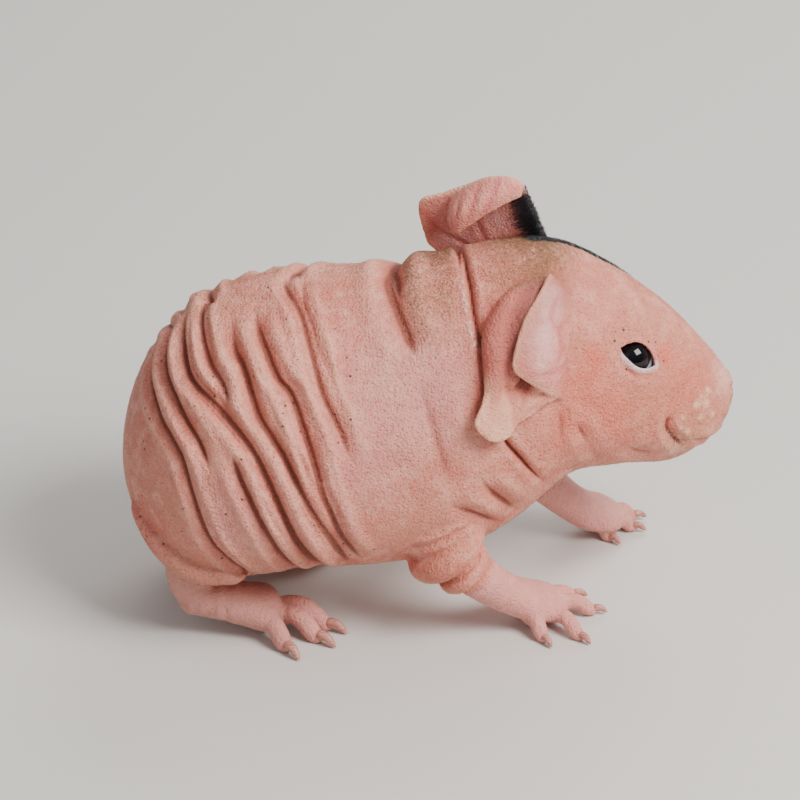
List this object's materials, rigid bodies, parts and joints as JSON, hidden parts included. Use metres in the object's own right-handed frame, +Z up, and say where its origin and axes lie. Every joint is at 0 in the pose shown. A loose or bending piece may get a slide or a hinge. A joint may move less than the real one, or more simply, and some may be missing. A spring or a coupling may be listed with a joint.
{
  "type": "skinny pig",
  "caption": "A hairless guinea pig standing with its head turned a little to one side, as a still, life-size figure of a young animal",
  "frame": {"origin": "bottom centre of the bounding box, on the floor the animal stands on, below the middle of its body", "axes": "+X towards the nose, along the body. +Y to the animal's left. +Z up"},
  "size_m": [0.1264, 0.0674, 0.0914],
  "materials": {
    "skin": "satin, bare warm skin",
    "ear_skin": "satin, thin and translucent pink",
    "foot_skin": "satin, mauve pink",
    "claw": "glossy, pinkish brown horn",
    "eye": "wet gloss, near black"
  },
  "bodies": {
    "root": {"torso": "skin", "neck": "skin", "head": "skin", "ear_right": "ear_skin", "eye_right": "eye", "foreleg_right": "skin", "forefoot_right": "foot_skin", "hindleg_right": "skin", "hindfoot_right": "foot_skin", "claw_fore_right_1": "claw", "claw_fore_right_2": "claw", "claw_fore_right_3": "claw", "claw_fore_right_4": "claw", "claw_hind_right_1": "claw", "claw_hind_right_2": "claw", "claw_hind_right_3": "claw", "ear_left": "ear_skin", "eye_left": "eye", "foreleg_left": "skin", "forefoot_left": "foot_skin", "hindleg_left": "skin", "hindfoot_left": "foot_skin", "claw_fore_left_1": "claw", "claw_fore_left_2": "claw", "claw_fore_left_3": "claw", "claw_fore_left_4": "claw", "claw_hind_left_1": "claw", "claw_hind_left_2": "claw", "claw_hind_left_3": "claw"}
  },
  "joints": []
}
